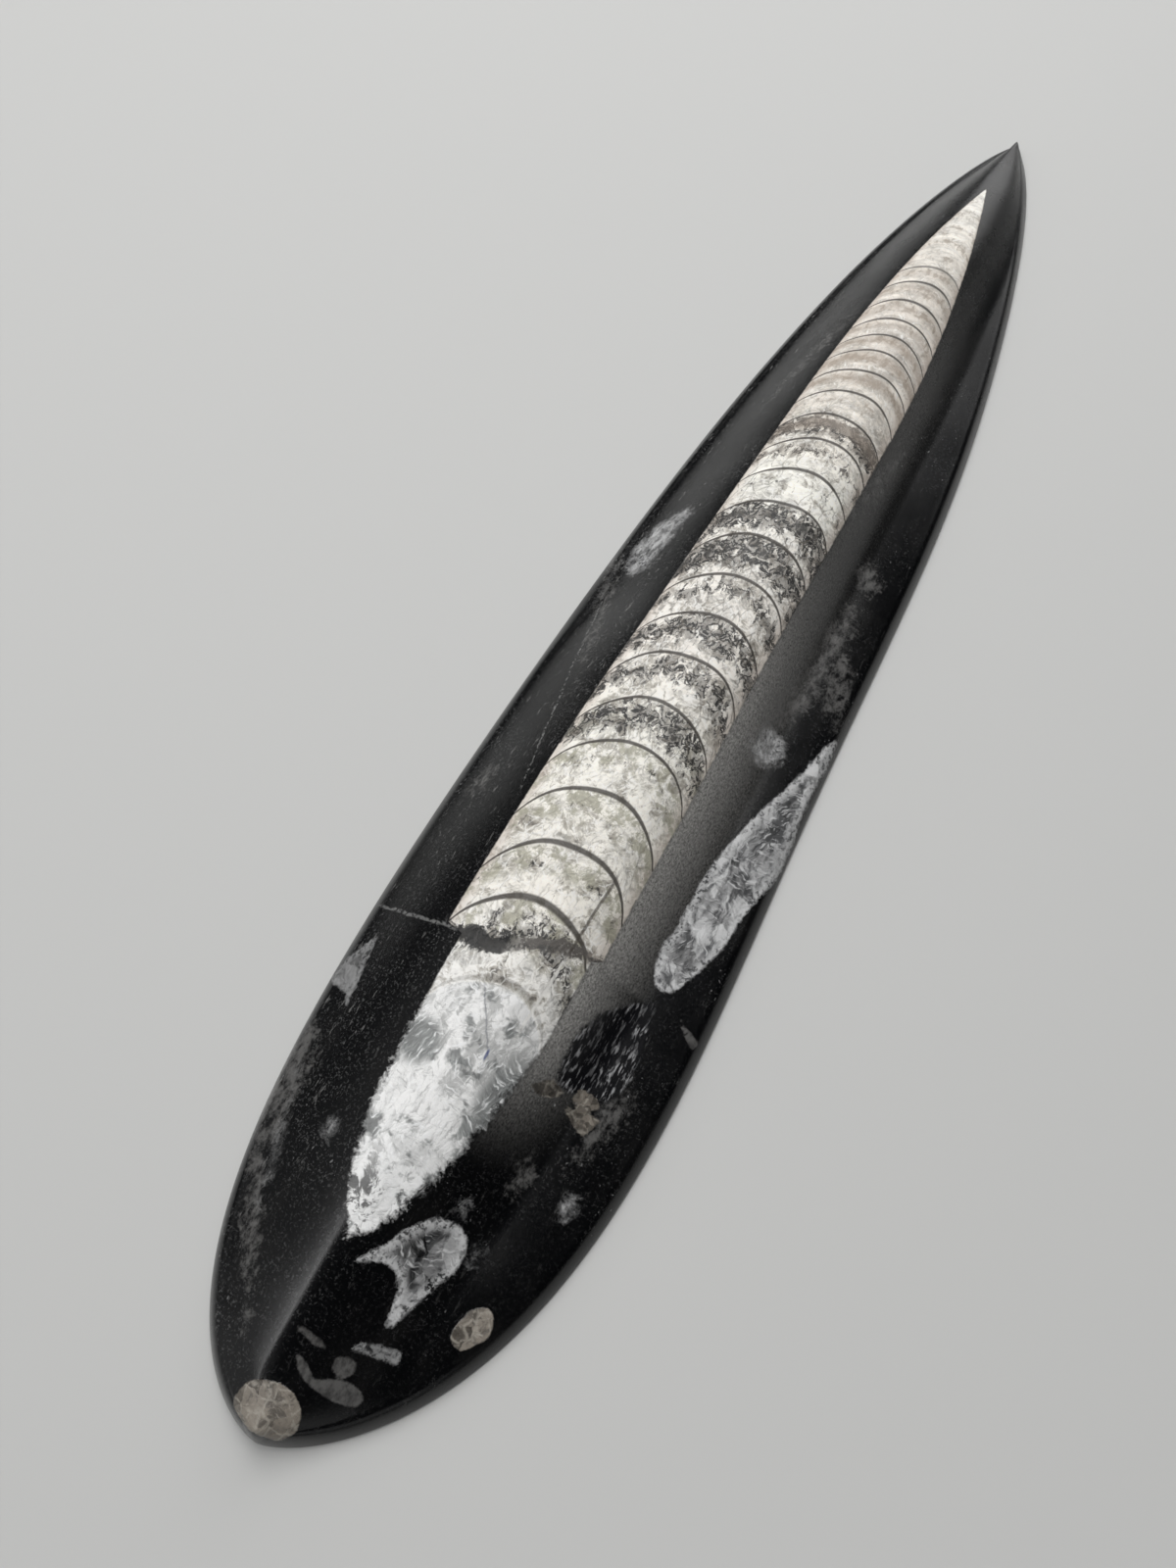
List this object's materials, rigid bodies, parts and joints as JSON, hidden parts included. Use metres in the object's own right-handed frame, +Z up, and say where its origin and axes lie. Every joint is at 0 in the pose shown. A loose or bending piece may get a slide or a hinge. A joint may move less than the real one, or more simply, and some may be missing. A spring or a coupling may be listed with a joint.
{
  "type": "orthoceras fossil",
  "caption": "Leaf-shaped slab of polished black limestone, a straight chambered shell of pale calcite laid bare along its rounded ridge.",
  "frame": {"origin": "centre of the bounding box's bottom face, on the flat underside the slab lies on", "axes": "+Z up from the underside, +Y from the blunt end along the shell to the pointed end, +X to the right-hand side seen from above with the point ahead"},
  "size_m": [0.0479, 0.2538, 0.0142],
  "materials": {
    "black_limestone": "polished black limestone, satin to glossy, with a pale cream and grey calcite shell and spar flush in it"
  },
  "bodies": {
    "root": {"polished_stone": "black_limestone"}
  },
  "joints": []
}
